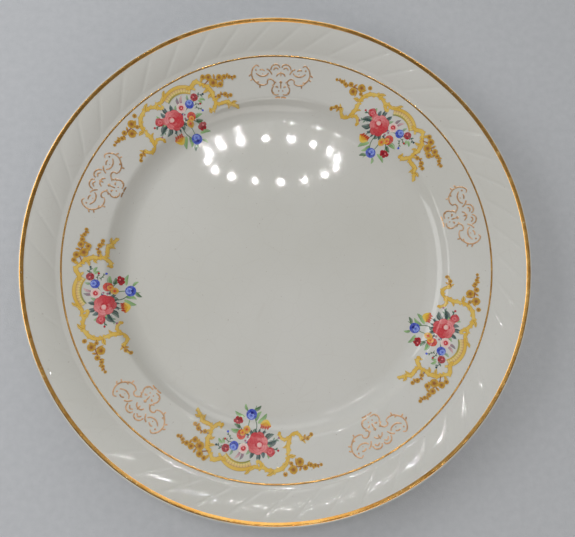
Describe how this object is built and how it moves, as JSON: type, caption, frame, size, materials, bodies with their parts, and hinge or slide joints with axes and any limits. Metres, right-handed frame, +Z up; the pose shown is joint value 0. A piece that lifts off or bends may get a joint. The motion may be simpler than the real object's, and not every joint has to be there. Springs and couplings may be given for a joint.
{
  "type": "dinner plate",
  "caption": "Round china dinner plate with a wide rim of slanted gadroons, gold edge and line, and enamelled flower sprays between gold filigree motifs.",
  "frame": {"origin": "centre of the circle on which the foot ring stands, at the height of the table", "axes": "+Z up through the plate's centre, out of the well; +X and +Y lie in the table plane, and turns are counted from +X, counterclockwise seen from above"},
  "size_m": [0.254, 0.254, 0.0252],
  "materials": {
    "biscuit": "matte",
    "glaze": "gloss",
    "gilding": "worn satin gold",
    "ochre_enamel": "gloss",
    "flower_enamel": "gloss",
    "filigree_gold": "satin gold"
  },
  "bodies": {
    "root": {"clay_body": "biscuit", "glaze_coat": "glaze", "glaze_foot_recess": "glaze", "gilt_edge_band": "gilding", "gilt_inner_line": "gilding", "scroll_frame_1": "ochre_enamel", "scroll_frame_2": "ochre_enamel", "scroll_frame_3": "ochre_enamel", "scroll_frame_4": "ochre_enamel", "scroll_frame_5": "ochre_enamel", "bouquet_1": "flower_enamel", "bouquet_2": "flower_enamel", "bouquet_3": "flower_enamel", "bouquet_4": "flower_enamel", "bouquet_5": "flower_enamel", "filigree_1": "filigree_gold", "filigree_2": "filigree_gold", "filigree_3": "filigree_gold", "filigree_4": "filigree_gold", "filigree_5": "filigree_gold"}
  },
  "joints": []
}
